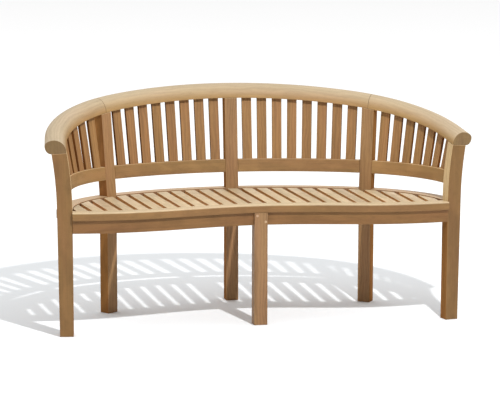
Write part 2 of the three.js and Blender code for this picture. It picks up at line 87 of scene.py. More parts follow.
@dataclass(frozen=True)
class BenchPlan:
    """The bench's layout in metres: its plan line, its heights and the curves its boards follow.

    A point is given as the distance along the plan line from its middle, the distance out of the
    bench from that line, and the height. The top rail falls by `rail_fall` for each metre forwards.
    """

    middle_y: float
    back_radius: float = 0.905
    shoulder_radius: float = 0.460
    shoulder_turn: float = math.radians(27.5)
    arm_turn: float = math.radians(82.0)
    side_post_turn: float = math.radians(36.5)
    seat_depth: float = 0.475
    front_bulge: float = 0.080
    bulge_reach: float = 0.525
    arm_end_set_back: float = 0.015
    seat_top: float = 0.430
    rail_underside: float = 0.770
    rail_fall: float = 0.24766316
    lower_rail_bottom: float = 0.49188
    lower_rail_top: float = 0.53982
    back_lean: float = math.radians(4.8)
    rail_cant: float = math.radians(5.5)

    @property
    def back_arc(self) -> float:
        """Returns the length of the arc behind, from the middle to a shoulder."""
        return self.back_radius * self.shoulder_turn

    @property
    def shoulder_arc(self) -> float:
        """Returns the length of the tighter arc round a shoulder."""
        return self.shoulder_radius * (self.arm_turn - self.shoulder_turn)

    @property
    def arm_end(self) -> float:
        """Returns where an arm ends along the plan line, just behind the seat's front line."""
        start = self.back_arc + self.shoulder_arc
        point, _ = self.line(start)
        reach = point.y - self.front(point.x) - self.arm_end_set_back
        return start + reach / math.sin(self.arm_turn)

    @property
    def side_post_at(self) -> float:
        """Returns where a side back post stands along the plan line."""
        return self.back_arc + self.shoulder_radius * (self.side_post_turn - self.shoulder_turn)

    def line(self, distance: float) -> tuple[Vector, Vector]:
        """Finds a point of the plan line, before the bench is centred on its footprint.

        Args:
            distance: How far along the line from its middle, negative to the left.

        Returns:
            The point, and the direction out of the bench there.
        """
        side, run = (-1 if distance < 0 else 1), abs(distance)
        on_shoulder = max(run - self.back_arc, 0) / self.shoulder_radius
        turn = min(min(run, self.back_arc) / self.back_radius + on_shoulder, self.arm_turn)
        first = min(turn, self.shoulder_turn)
        straight = max(run - self.back_arc - self.shoulder_arc, 0)
        x = self.back_radius * math.sin(first)
        y = self.back_radius * (math.cos(first) - 1)
        x += self.shoulder_radius * (math.sin(turn) - math.sin(first))
        y += self.shoulder_radius * (math.cos(turn) - math.cos(first))
        x += straight * math.cos(self.arm_turn)
        y -= straight * math.sin(self.arm_turn)
        return Vector((side * x, y)), Vector((side * math.sin(turn), math.cos(turn)))

    def front(self, x: float) -> float:
        """Returns the depth of the seat's front edge at a place across the bench."""
        wave = 1 - math.cos(math.pi * x / self.bulge_reach)
        return -self.seat_depth - self.front_bulge * wave / 2

    def lean(self, height: float) -> float:
        """Returns how far the leaning back has moved outwards at a height."""
        return math.tan(self.back_lean) * max(height - self.seat_top, 0)

    def underside(self, y: float) -> float:
        """Returns the height of the sloping plane under the top rail at a depth."""
        return self.rail_underside + self.rail_fall * (y - self.lean(self.rail_underside))

    def rail_edge(self, distance: float) -> float:
        """Returns how far out the top rail's inner edge stands at a place along the line."""
        point, out = self.line(distance)
        rise = math.tan(self.back_lean) * self.rail_fall * out.y
        return math.tan(self.back_lean) * (self.underside(point.y) - self.seat_top) / (1 - rise)

    def level(self, p: Vector) -> Vector:
        """Carries a straight piece's point onto the plan line, level."""
        point, out = self.line(p.x)
        return Vector((point.x + out.x * p.y, point.y + out.y * p.y + self.middle_y, p.z))

    def leaning(self, p: Vector) -> Vector:
        """Carries a straight piece's point onto the plan line, leaning with the back."""
        return self.level(Vector((p.x, p.y + self.lean(p.z), p.z)))

    def on_rail(self, p: Vector) -> Vector:
        """Carries a straight piece's point onto the top rail, with the rail's slope and cant."""
        placed = self.level(Vector((p.x, p.y + self.rail_edge(p.x), 0)))
        placed.z = self.underside(placed.y - self.middle_y) + p.z - math.tan(self.rail_cant) * p.y
        return placed

    def on_front(self, p: Vector) -> Vector:
        """Carries a straight piece's point onto the seat's front line."""
        return Vector((p.x, self.front(p.x) + p.y + self.middle_y, p.z))

    def standing(self, distance: float) -> Matrix:
        """Finds the frame of an upright piece that stands square to the plan line.

        Args:
            distance: Where the piece stands along the line.

        Returns:
            A matrix whose x runs along the line, y out of the bench and z up.
        """
        point, out = self.line(distance)
        placed = Matrix.Identity(4)
        placed.col[0] = (out.y, -out.x, 0, 0)
        placed.col[1] = (out.x, out.y, 0, 0)
        placed.col[3] = (point.x, point.y + self.middle_y, 0, 1)
        return placed


@dataclass
class Tree:
    """A node tree that is filled by short calls."""

    tree: bpy.types.NodeTree

    def add(self, kind: str, inputs: dict[str | int, object] | None = None,
            **settings: object) -> bpy.types.Node:
        """Adds a node.

        Args:
            kind: The node's type.
            inputs: What its inputs are given, as in `feed`.
            **settings: Attributes to set on the node first.

        Returns:
            The new node.
        """
        node = self.tree.nodes.new(kind)
        for name, value in settings.items():
            setattr(node, name, value)
        self.feed(node, inputs or {})
        return node

    def feed(self, node: bpy.types.Node, inputs: dict[str | int, object]) -> None:
        """Gives a node's inputs links or values.

        Args:
            node: The node that is fed.
            inputs: An output to link from, or a plain value, for each input's name or number.
        """
        for socket, value in inputs.items():
            if isinstance(value, Socket):
                self.tree.links.new(value, node.inputs[socket])
            else:
                node.inputs[socket].default_value = value

    def sum(self, operation: str, a: object, b: object, clamp: bool = False) -> Socket:
        """Works out one value from two, and returns its output."""
        node = self.add("ShaderNodeMath", {0: a, 1: b}, operation=operation, use_clamp=clamp)
        return node.outputs[0]

    def around(self, value: object, factor: object) -> Socket:
        """Returns how far a value is from a half, times a factor."""
        return self.sum("MULTIPLY", self.sum("SUBTRACT", value, 0.5), factor)

    def ramp(self, value: object, span: Pair, ends: Pair = (0.0, 1.0),
             kind: str = "SMOOTHSTEP") -> Socket:
        """Maps a span of values to another.

        Args:
            value: The value.
            span: The values that give the first end and the second.
            ends: The two ends.
            kind: How the result goes from one end to the other.

        Returns:
            The mapped value.
        """
        names = ("Value", "From Min", "From Max", "To Min", "To Max")
        inputs = dict(zip(names, (value, *span, *ends)))
        return self.add("ShaderNodeMapRange", inputs, interpolation_type=kind).outputs[0]

    def stretched(self, vector: object, stretch: Triple) -> Socket:
        """Returns coordinates times a scale of their own on each axis."""
        return self.add("ShaderNodeMapping", {"Vector": vector, "Scale": stretch}).outputs[0]

    def noise(self, vector: object, stretch: Triple, detail: float) -> Socket:
        """Makes noise that is stretched along the grain.

        Args:
            vector: The grain coordinates.
            stretch: How many features there are to the metre along, across and through.
            detail: How many finer octaves are added.

        Returns:
            The noise, around 0.5.
        """
        inputs = {"Vector": self.stretched(vector, stretch), "Scale": 1.0, "Detail": detail}
        return self.add("ShaderNodeTexNoise", inputs).outputs["Fac"]

    def blend(self, share: object, a: Colour, b: Colour) -> Socket:
        """Mixes two colours by a share, through the node's colour sockets."""
        node = self.add("ShaderNodeMix", {0: share, 6: (*a, 1), 7: (*b, 1)}, data_type="RGBA")
        return node.outputs[2]


@dataclass(frozen=True)
class Grain:
    """The shader group that draws teak's figure, streaks and pores along a piece's grain.

    Each pattern is given by how many features there are to the metre along, across and through.
    """

    name: str = "teak_grain"
    broad: Triple = (1.6, 34.0, 34.0)
    broad_share: float = 1.5
    patches: Triple = (5.0, 18.0, 18.0)
    patch_share: float = 0.8
    rings: Triple = (0.35, 1.0, 0.8)
    ring_share: float = 0.45
    fine: Triple = (7.0, 420.0, 420.0)
    fine_relief: float = 0.5
    dashes: Triple = (70.0, 1700.0, 1700.0)
    pore_span: Pair = (0.60, 0.72)
    drift: Triple = (3.0, 22.0, 22.0)
    drift_span: Pair = (0.38, 0.68)

    def group(self) -> bpy.types.NodeTree:
        """Returns the group, and builds it on the first call."""
        return bpy.data.node_groups.get(self.name) or self.build()

    def build(self) -> bpy.types.NodeTree:
        """Builds the group.

        Returns:
            The node group, with the outputs Shade, Drift, Pores and Height.
        """
        group = bpy.data.node_groups.new(self.name, "ShaderNodeTree")
        for name, kind in (("Grain", "Vector"), ("Figure", "Float"), ("Streaks", "Float")):
            group.interface.new_socket(name, in_out="INPUT", socket_type=f"NodeSocket{kind}")
        for name in ("Shade", "Drift", "Pores", "Height"):
            group.interface.new_socket(name, in_out="OUTPUT", socket_type="NodeSocketFloat")
        tree = Tree(group)
        given = tree.add("NodeGroupInput")
        grain = given.outputs["Grain"]
        broad = tree.noise(grain, self.broad, detail=2.0)
        patches = tree.noise(grain, self.patches, detail=3.0)
        rings = tree.add("ShaderNodeTexWave", {
            "Vector": tree.stretched(grain, self.rings), "Scale": 26.0, "Distortion": 9.0,
            "Detail": 3.0, "Detail Scale": 0.9}, wave_type="BANDS", bands_direction="Y")
        fine = tree.noise(grain, self.fine, detail=4.0)
        pores = tree.ramp(tree.noise(grain, self.dashes, detail=1.0), self.pore_span, kind="LINEAR")
        figure = tree.sum("ADD", tree.around(broad, self.broad_share),
                          tree.around(patches, self.patch_share))
        figure = tree.sum("ADD", figure, tree.around(rings.outputs["Fac"], self.ring_share))
        figure = tree.sum("MULTIPLY", figure, given.outputs["Figure"])
        streaks = tree.around(fine, given.outputs["Streaks"])
        tree.add("NodeGroupOutput", {
            "Shade": tree.sum("ADD", tree.sum("ADD", figure, streaks), 0.5, clamp=True),
            "Drift": tree.ramp(tree.noise(grain, self.drift, detail=2.0), self.drift_span),
            "Pores": pores,
            "Height": tree.sum("SUBTRACT", tree.sum("MULTIPLY", fine, self.fine_relief), pores)})
        return group


@dataclass(frozen=True)
class TeakFinish:
    """One finish of sanded teak: its colour on upright faces, and a paler colour on faces that look up,
    which is painted light from above and painted sheen.

    Colours are given as a screen shows them, from 0 to 255.
    """

    slot: str
    upright: Colour
    # Painted light: faces that look up are blended to this paler colour, standing in for light from
    # above and sheen.
    lit_top: Colour = (186, 156, 117)
    looks_up: Pair = (0.05, 0.90)
    figure: float = 1.0
    streaks: float = 1.0
    depth: float = 0.34
    drift: float = 0.006
    pore_depth: float = 0.22
    edge_light: float = 0.10
    tone_depth: float = 0.13
    tone_drift: float = 0.002
    roughness: float = 0.52
    rough_spread: float = 0.16
    sheen: float = 0.25
    relief: float = 0.25
    relief_height: float = 0.0006

    def build(self, name: str) -> bpy.types.Material:
        """Builds the material.

        Args:
            name: Its name.

        Returns:
            A material that reads each piece's own grain, tone and eased edges.
        """
        material = bpy.data.materials.new(name)
        material.use_nodes = True
        material.node_tree.nodes.clear()
        tree = Tree(material.node_tree)
        grain, tone, edge = [tree.add("ShaderNodeAttribute", attribute_name=layer).outputs
                             for layer in ("grain", "tone", "eased")]
        wood = tree.add("ShaderNodeGroup", {
            "Grain": grain["Vector"], "Figure": self.figure, "Streaks": self.streaks},
            node_tree=Grain().group()).outputs
        normal = tree.add("ShaderNodeNewGeometry").outputs["Normal"]
        facing = tree.add("ShaderNodeSeparateXYZ", {0: normal}).outputs["Z"]
        # Painted light: the share of the paler top colour grows as a face looks up.
        top_light_share = tree.ramp(facing, self.looks_up)
        colour = tree.blend(top_light_share, linear(self.upright), linear(self.lit_top))
        value = tree.sum("ADD", 1.0, tree.around(wood["Shade"], -self.depth))
        for amount, factor in ((tone["Fac"], -self.tone_depth), (edge["Fac"], self.edge_light),
                               (wood["Pores"], -self.pore_depth)):
            value = tree.sum("ADD", value, tree.sum("MULTIPLY", amount, factor))
        redder = tree.sum("ADD", tree.sum("MULTIPLY", wood["Drift"], self.drift),
                          tree.sum("MULTIPLY", tone["Fac"], self.tone_drift))
        hue = tree.sum("SUBTRACT", 0.5 + self.drift / 2, redder)
        tint = tree.add("ShaderNodeHueSaturation", {"Color": colour, "Hue": hue, "Value": value})
        rough = tree.sum("MULTIPLY", wood["Shade"], self.rough_spread)
        bump = tree.add("ShaderNodeBump", {
            "Strength": self.relief, "Distance": self.relief_height, "Height": wood["Height"]})
        shader = tree.add("ShaderNodeBsdfPrincipled", {
            "Base Color": tint.outputs[0], "Specular IOR Level": self.sheen,
            "Roughness": tree.sum("ADD", rough, self.roughness - self.rough_spread / 2),
            "Normal": bump.outputs[0]})
        tree.add("ShaderNodeOutputMaterial", {"Surface": shader.outputs[0]})
        return material


class Teak(Enum):
    """The bench's finishes: one for each kind of board, darker and lighter copies that paint shade and
    light on the sides of posts and slats, and some for pegs and cut ends.
    """

    POST = TeakFinish("teak_post", (149, 114, 77))
    # Painted shade: the posts' side faces, set between slats and rails, get this darker copy of the
    # post finish.
    POST_SIDE = TeakFinish("teak_post", (140, 96, 55), roughness=0.8, sheen=0.0)
    ARM_POST = TeakFinish("teak_post", (124, 91, 54))
    # Painted light: the arm posts' sides above the seat get this pale copy of the post finish, as if
    # lit.
    ARM_POST_SIDE = TeakFinish("teak_post", (204, 176, 133))
    TOP_RAIL = TeakFinish("teak_top_rail", (164, 130, 85), (179, 159, 129), figure=0.65,
                          streaks=0.7, depth=0.30, edge_light=-0.18)
    LOWER_RAIL = TeakFinish("teak_lower_rail", (148, 114, 73))
    # Painted shade: the back slats' eased edges are darkened, and their side faces get a dark copy of
    # the slat finish.
    BACK_SLAT = TeakFinish("teak_back_slat", (145, 107, 66), depth=0.42, edge_light=-0.12)
    SLAT_EDGE = TeakFinish("teak_back_slat", (96, 58, 27), (147, 117, 83), roughness=0.8, sheen=0.0)
    PEG = TeakFinish("teak_post", (184, 152, 120), (184, 152, 120), figure=0.2, edge_light=0.0)
    BORDER = TeakFinish("teak_border", (141, 106, 76), (182, 151, 115), figure=0.8)
    SEAT = TeakFinish("teak_seat", (133, 99, 60), (196, 174, 139), figure=0.8)
    # Painted light: the seat slats' side faces, the walls of the gaps, get this lighter copy of the
    # seat finish, as if lit.
    SEAT_EDGE = TeakFinish("teak_seat", (196, 145, 86), (204, 178, 142), figure=0.8)
    # Painted shade: the aprons and bearer under the seat get a darker finish than the other boards.
    APRON = TeakFinish("teak_apron", (126, 90, 53))
    END_GRAIN = TeakFinish("teak_post", (122, 97, 64), (147, 123, 90), figure=0.6, streaks=0.8)

    @property
    def material(self) -> bpy.types.Material:
        """Returns the finish's material, and builds it on the first call."""
        name = f"sanded_{self.name.lower()}"
        return bpy.data.materials.get(name) or self.value.build(name)


@dataclass
class Workpiece:
    """One piece of wood, shaped straight from an outline and then carried to its place.

    The grain runs along `grain_axis` while the piece is still straight: 0, 1 or 2 for x, y or z.
    The higher the tone, the darker and redder the piece; tones vary from piece to piece, and on the
    rails some also paint shade and light across the bench.
    """

    name: str
    outline: Sequence[Sequence[float]]
    sweep: Sequence[float]
    finish: Teak
    grain_axis: int = 0
    tone: float = 0.0
    mesh: bmesh.types.BMesh = field(init=False)
    finishes: list[Teak] = field(init=False)

    def __post_init__(self) -> None:
        """Draws the outline and sweeps it into a closed block."""
        self.finishes = [self.finish]
        self.mesh = bmesh.new()
        corners = [self.mesh.verts.new(point) for point in self.outline]
        face = self.mesh.faces.new(corners)
        grown = bmesh.ops.extrude_face_region(self.mesh, geom=[face])
        moved = [item for item in grown["geom"] if isinstance(item, bmesh.types.BMVert)]
        bmesh.ops.translate(self.mesh, verts=moved, vec=Vector(self.sweep))
        bmesh.ops.recalc_face_normals(self.mesh, faces=self.mesh.faces)
        self.mesh.verts.layers.float_vector.new("grain")
        self.mesh.verts.layers.float.new("tone")
        self.mesh.faces.layers.float.new("eased")

    def cut(self, point: Vector, outwards: Vector) -> None:
        """Saws the piece on a plane and keeps the side that `outwards` points away from.

        Args:
            point: A point of the plane.
            outwards: The plane's normal, on the side that is thrown away.
        """
        everything = [*self.mesh.verts, *self.mesh.edges, *self.mesh.faces]
        bmesh.ops.bisect_plane(self.mesh, geom=everything, dist=ON_CUT, plane_co=point,
                               plane_no=outwards, clear_outer=True)
        rim = [edge for edge in self.mesh.edges if edge.is_boundary]
        if rim:
            bmesh.ops.holes_fill(self.mesh, edges=rim)

    def ease(self, width: float, segments: int = 3) -> None:
        """Rounds every sharp edge a little.

        Args:
            width: How far the rounding reaches from the edge.
            segments: How many facets it has.
        """
        sharp = [edge for edge in self.mesh.edges
                 if edge.is_manifold and edge.calc_face_angle(0) > EASED_FROM]
        made = bmesh.ops.bevel(self.mesh, geom=sharp, offset=width, offset_type="OFFSET",
                               segments=segments, profile=0.5, affect="EDGES", material=-1,
                               clamp_overlap=True)
        eased = self.mesh.faces.layers.float["eased"]
        for face in made["faces"]:
            face[eased] = 1.0

    def dress(self, axis: int, finish: Teak, above: float = -1.0) -> None:
        """Gives the faces that are square to an axis a finish of their own.

        Args:
            axis: The axis, while the piece is still straight: 0, 1 or 2 for x, y or z.
            finish: The faces' finish.
            above: Faces whose middle is lower than this keep their finish.
        """
        self.finishes.append(finish)
        for face in self.mesh.faces:
            if abs(face.normal[axis]) > SQUARE and face.calc_center_median().z > above:
                face.material_index = len(self.finishes) - 1

    def show_ends(self) -> None:
        """Gives the sawn ends the end grain's finish."""
        self.dress(self.grain_axis, Teak.END_GRAIN)

    def divide(self, step: float) -> None:
        """Cuts the piece's faces along x into lengths that can bend.

        Args:
            step: How long a length may be.
        """
        places = [vert.co.x for vert in self.mesh.verts]
        low, high = min(places), max(places)
        count = max(math.ceil((high - low) / step), 1)
        for i in range(1, count):
            everything = [*self.mesh.verts, *self.mesh.edges, *self.mesh.faces]
            bmesh.ops.bisect_plane(self.mesh, geom=everything, dist=ON_CUT, plane_no=(1, 0, 0),
                                   plane_co=(low + (high - low) * i / count, 0, 0))

    def carry(self, place: Place | Matrix, step: float = BEND_STEP) -> None:
        """Writes the grain's coordinates, and then moves each point to its place.

        Args:
            place: A matrix, or a function that bends the piece to its place on the bench.
            step: How long the lengths of a bent piece may be.
        """
        if not isinstance(place, Matrix):
            self.divide(step)
        chance = random.Random(self.name)
        offset = Vector([chance.uniform(-GRAIN_SHIFT, GRAIN_SHIFT) for _ in range(3)])
        grain = self.mesh.verts.layers.float_vector["grain"]
        tone = self.mesh.verts.layers.float["tone"]
        axes = [self.grain_axis, (self.grain_axis + 1) % 3, (self.grain_axis + 2) % 3]
        for vert in self.mesh.verts:
            vert[grain] = Vector([vert.co[axis] for axis in axes]) + offset
            vert[tone] = self.tone
        if isinstance(place, Matrix):
            bmesh.ops.transform(self.mesh, matrix=place, verts=self.mesh.verts)
            return
        for vert in self.mesh.verts:
            vert.co = place(vert.co)

    def done(self, *stands_for: str) -> None:
        """Makes the shown object, dresses it and ties it to the CAD part.

        Args:
            *stands_for: The CAD nodes that it replaces.
        """
        for face in self.mesh.faces:
            face.smooth = True
        self.mesh.normal_update()
        for edge in self.mesh.edges:
            edge.smooth = edge.calc_face_angle(0) < SHARP_FROM
        data = bpy.data.meshes.new(self.name)
        self.mesh.to_mesh(data)
        self.mesh.free()
        piece = link(self.name, data)
        piece.modifiers.new("even_shading", "WEIGHTED_NORMAL").keep_sharp = True
        for finish in self.finishes:
            data.materials.append(finish.material)
        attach(piece, "root")
        if stands_for:
            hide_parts(*stands_for)
        LOG.info("%s: %d faces", piece.name, len(data.polygons))


def quarter(centre: Pair, radii: Pair, start: float, count: int) -> list[Pair]:
    """Draws a quarter of an ellipse, without its first point.

    Args:
        centre: The ellipse's centre.
        radii: Its two radii.
        start: The angle it starts at, in degrees.
        count: How many points it has.

    Returns:
        The points, going round against the clock.
    """
    angles = [math.radians(start + 90 * (i + 1) / count) for i in range(count)]
    return [(centre[0] + radii[0] * math.cos(a), centre[1] + radii[1] * math.sin(a)) for a in angles]


def board(name: str, section: Sequence[Pair], ends: Pair, finish: Teak, tone: float,
          grain_axis: int = 0) -> Workpiece:
    """Sweeps a section, given as distance out and height, along x.

    Args:
        name: The piece's name.
        section: The section's corners.
        ends: Where the board starts and ends.
        finish: Its finish.
        tone: Its tone.
        grain_axis: The axis that its grain runs along.

    Returns:
        The straight workpiece.
    """
    outline = [(ends[0], out, height) for out, height in section]
    return Workpiece(name, outline, (ends[1] - ends[0], 0, 0), finish, grain_axis, tone)


@dataclass(frozen=True)
class Bay:
    """The space between two neighbouring posts."""

    name: str
    start: float
    end: float
    slats: int
    post_at_start: bool = True
    post_at_end: bool = True

    def between(self, post_width: float) -> Pair:
        """Returns the ends, along the plan line, of a board that fits between the bay's posts."""
        half = post_width / 2
        return (self.start + (half if self.post_at_start else 0) + FIT,
                self.end - (half if self.post_at_end else 0) - FIT)


@dataclass
class Posts:
    """The legs: three back posts, two arm posts and the front leg with its two pegs."""

    plan: BenchPlan
    width: float = 0.048
    depth: float = 0.041
    arm_width: float = 0.052
    arm_foot_width: float = 0.047
    arm_depth: float = 0.043
    flare_steps: int = 12
    leg_width: float = 0.048
    leg_depth: float = 0.043
    leg_set_back: float = 0.001
    leg_top: float = 0.4027
    # Painted shade: the high tone darkens the front leg, which stands under the seat.
    leg_tone: float = 1.2
    spare: float = 0.12
    saw_spots: tuple[Pair, ...] = ((-0.02, 0.0), (0.02, 0.0), (0.0, 0.05))
    eased: float = 0.0016
    pegs: tuple[Pair, ...] = ((-0.0135, 0.3915), (0.0165, 0.3700))
    peg_radius: float = 0.0045
    peg_length: float = 0.012
    peg_proud: float = 0.0004
    peg_sides: int = 20
    peg_eased: float = 0.0002

    def saw_head(self, post: Workpiece, distance: float) -> None:
        """Saws a straight post off just under the top rail's sloping underside.

        Args:
            post: The post, still straight.
            distance: Where it stands along the plan line.
        """
        back = self.plan.standing(distance).inverted()
        a, b, c = [back @ self.plan.on_rail(Vector((distance + along, out, -FIT)))
                   for along, out in self.saw_spots]
        normal = (b - a).cross(c - a).normalized()
        post.cut(a, normal if normal.z > 0 else -normal)

    def back_post(self, name: str, distance: float, tone: float) -> None:
        """Builds a back post, upright to the seat and leaning above it.

        Args:
            name: The CAD node's name.
            distance: Where the post stands along the plan line.
            tone: Its tone.
        """
        plan = self.plan
        head = plan.underside(plan.line(distance)[0].y + self.depth) + self.spare
        lean, seat, half = plan.lean(head), plan.seat_top, self.width / 2
        profile = [(0, 0), (self.depth, 0), (self.depth, seat), (self.depth + lean, head),
                   (lean, head), (0, seat)]
        post = board(f"wood_{name}", profile, (-half, half), Teak.POST, tone, grain_axis=2)
        self.saw_head(post, distance)
        post.ease(self.eased)
        post.show_ends()
        # Painted shade on the post's side faces.
        post.dress(0, Teak.POST_SIDE)
        post.carry(plan.standing(distance))
        post.done(name)

    def arm_post(self, name: str, side: int, tone: float) -> None:
        """Builds an arm post, which curves outwards above the seat and carries the rail's end.

        Args:
            name: The CAD node's name.
            side: -1 for the left arm and 1 for the right one.
            tone: Its tone.
        """
        plan, seat, half = self.plan, self.plan.seat_top, self.arm_depth / 2
        distance = side * (plan.arm_end - half)
        under = plan.on_rail(Vector((distance, 0, 0))).z
        head = under + self.spare
        flare = plan.lean(under) * ((head - seat) / (under - seat)) ** 2
        shares = [i / self.flare_steps for i in range(self.flare_steps + 1)]
        inner = [(flare * s * s, seat + (head - seat) * s) for s in shares]
        outer = [(self.arm_width + out, height) for out, height in inner]
        profile = [(0, 0), (self.arm_foot_width, 0), *outer, *reversed(inner)]
        post = board(f"wood_{name}", profile, (-half, half), Teak.ARM_POST, tone, grain_axis=2)
        self.saw_head(post, distance)
        post.ease(self.eased)
        post.show_ends()
        # The arm post's sides get painted shade below the seat and painted light above it.
        post.dress(1, Teak.POST_SIDE)
        post.dress(1, Teak.ARM_POST_SIDE, seat)
        post.carry(plan.standing(distance))
        post.done(name)

    def front_leg(self) -> None:
        """Builds the front leg and the two pegs that pin the aprons' tenons in it."""
        face = self.plan.front(0) + self.leg_set_back + self.plan.middle_y
        half = self.leg_width / 2
        outline = [(x, y, 0) for x, y in rectangle(-half, face, half, face + self.leg_depth)]
        leg = Workpiece("wood_centre_front_leg", outline, (0, 0, self.leg_top), Teak.POST,
                        grain_axis=2, tone=self.leg_tone)
        leg.ease(self.eased)
        leg.show_ends()
        leg.carry(Matrix.Identity(4))
        leg.done("centre_front_leg")
        turns = [2 * math.pi * i / self.peg_sides for i in range(self.peg_sides)]
        for number, (x, height) in enumerate(self.pegs, 1):
            outline = [(x + self.peg_radius * math.cos(a), face - self.peg_proud,
                        height + self.peg_radius * math.sin(a)) for a in turns]
            peg = Workpiece(f"wood_peg_{number}", outline, (0, self.peg_length, 0), Teak.PEG,
                            grain_axis=1)
            peg.ease(self.peg_eased, 2)
            peg.carry(Matrix.Identity(4))
            peg.done()

    def build(self) -> None:
        """Builds all six legs."""
        at = self.plan.side_post_at
        self.back_post("side_back_post_left", -at, tone=0.0)
        self.back_post("centre_back_post", 0, tone=0.4)
        self.back_post("side_back_post_right", at, tone=0.2)
        self.arm_post("arm_post_left", -1, tone=0.0)
        self.arm_post("arm_post_right", 1, tone=0.3)
        self.front_leg()


@dataclass
class TopRail:
    """The rounded top rail in three lengths, jointed over the side back posts."""

    plan: BenchPlan
    width: float = 0.0738
    height: float = 0.0469
    crown_out: float = 0.044
    outer_height: float = 0.029
    underside_width: float = 0.051
    outer_facets: int = 8
    inner_facets: int = 14
    eased: float = 0.0012
    bend_step: float = 0.014

    def section(self) -> list[Pair]:
        """Returns the section: flat below, long and round inside, short and round outside."""
        lower, outer = self.width - self.underside_width, self.width - self.crown_out
        return [
            (0, 0), (self.underside_width, 0),
            *quarter((self.underside_width, self.outer_height), (lower, self.outer_height), -90,
                     self.outer_facets),
            *quarter((self.crown_out, self.outer_height),
                     (outer, self.height - self.outer_height), 0, self.outer_facets),
            *quarter((self.crown_out, 0), (self.crown_out, self.height), 90, self.inner_facets)[:-1],
        ]

    def build(self) -> None:
        """Builds the three lengths."""
        end, joint = self.plan.arm_end, self.plan.side_post_at
        # Painted shade: the tones darken the rail from right to left, the left arm most.
        lengths = {"top_rail_left_arm": (-end, -joint - FIT / 2, 0.6),
                   "top_rail_back": (-joint + FIT / 2, joint - FIT / 2, 0.2),
                   "top_rail_right_arm": (joint + FIT / 2, end, 0.0)}
        for name, (start, stop, tone) in lengths.items():
            rail = board(f"wood_{name}", self.section(), (start, stop), Teak.TOP_RAIL, tone)
            rail.ease(self.eased, 2)
            rail.show_ends()
            rail.carry(self.plan.on_rail, self.bend_step)
            rail.done(name)


@dataclass
class Back:
    """The lower rails and the slats between them and the top rail."""

    plan: BenchPlan
    posts: Posts
    bays: Sequence[Bay]
    rail_thickness: float = 0.028
    slat_width: float = 0.0365
    slat_thickness: float = 0.011
    foot_set_back: float = 0.004
    head_set_back: float = 0.017
    housing: float = 0.010
    last_gap: float = 0.009
    last_step: float = 1.16
    # Partly painted light: the right arm bay's negative tones paint its rail and slats paler; the other
    # tones vary from bay to bay.
    rail_tones: tuple[float, ...] = (0.2, 0.15, 0.75, -0.9)
    slat_tones: tuple[float, ...] = (0.0, 0.0, 0.0, -0.7)
    slat_tone_spread: float = 0.7
    eased: float = 0.0013

    def places(self, bay: Bay) -> list[float]:
        """Finds the middles of a bay's slats along the plan line.

        An arm bay's first gap is that of a back bay, and its last step is longer than the others.

        Args:
            bay: The bay.

        Returns:
            The places, from the one nearest the bench's middle.
        """
        plan = self.plan
        clear, behind = plan.side_post_at - self.posts.width, self.bays[1].slats
        gap = (clear - behind * self.slat_width) / (behind + 1)
        first = self.posts.width / 2 + gap + self.slat_width / 2
        side = -1 if bay.start < 0 else 1
        if bay.post_at_start and bay.post_at_end:
            return [side * (first + i * (gap + self.slat_width)) for i in range(bay.slats)]
        start = plan.side_post_at + first
        end = plan.arm_end - self.posts.arm_depth - self.last_gap - self.slat_width / 2
        pitch = (end - start) / (bay.slats - 2 + self.last_step)
        return [side * (start + i * pitch) for i in range(bay.slats - 1)] + [side * end]

    def slat(self, name: str, distance: float, tone: float) -> None:
        """Builds one slat, housed in the lower rail and in the top rail.

        Args:
            name: The CAD node's name.
            distance: The slat's middle along the plan line.
            tone: Its tone.
        """
        plan, low = self.plan, self.plan.lower_rail_top
        half, thick = self.slat_width / 2, self.slat_thickness / 2
        foot = Vector((self.foot_set_back + thick + plan.lean(low), low))
        head_out = self.head_set_back + thick
        head = Vector((head_out + plan.rail_edge(distance),
                       plan.on_rail(Vector((distance, head_out, 0))).z))
        along = (head - foot).normalized()
        start = foot - along * self.housing
        length = (head - start).length + self.housing
        outline = [(x, y, 0) for x, y in rectangle(-half, -thick, half, thick)]
        slat = Workpiece(f"wood_{name}", outline, (0, 0, length), Teak.BACK_SLAT, grain_axis=2,
                         tone=tone)
        slat.ease(self.eased)
        # Painted shade on the slat's side faces.
        slat.dress(0, Teak.SLAT_EDGE)
        tilt = Matrix(((1, 0, 0, 0), (0, along.y, along.x, start.x), (0, -along.x, along.y, start.y),
                       (0, 0, 0, 1)))
        slat.carry(plan.standing(distance) @ tilt)
        slat.done(name)

    def build(self) -> None:
        """Builds every bay's rail and slats."""
        chance = random.Random("back slats")
        section = rectangle(0, self.plan.lower_rail_bottom, self.rail_thickness,
                            self.plan.lower_rail_top)
        for bay, rail_tone, slat_tone in zip(self.bays, self.rail_tones, self.slat_tones):
            rail = board(f"wood_lower_back_rail_{bay.name}", section, bay.between(self.posts.width),
                         Teak.LOWER_RAIL, rail_tone)
            rail.ease(self.eased)
            rail.carry(self.plan.leaning)
            rail.done(f"lower_back_rail_{bay.name}")
            for number, distance in enumerate(self.places(bay), 1):
                tone = slat_tone + chance.uniform(0, self.slat_tone_spread)
                self.slat(f"back_slat_{bay.name}_{number}", distance, tone)


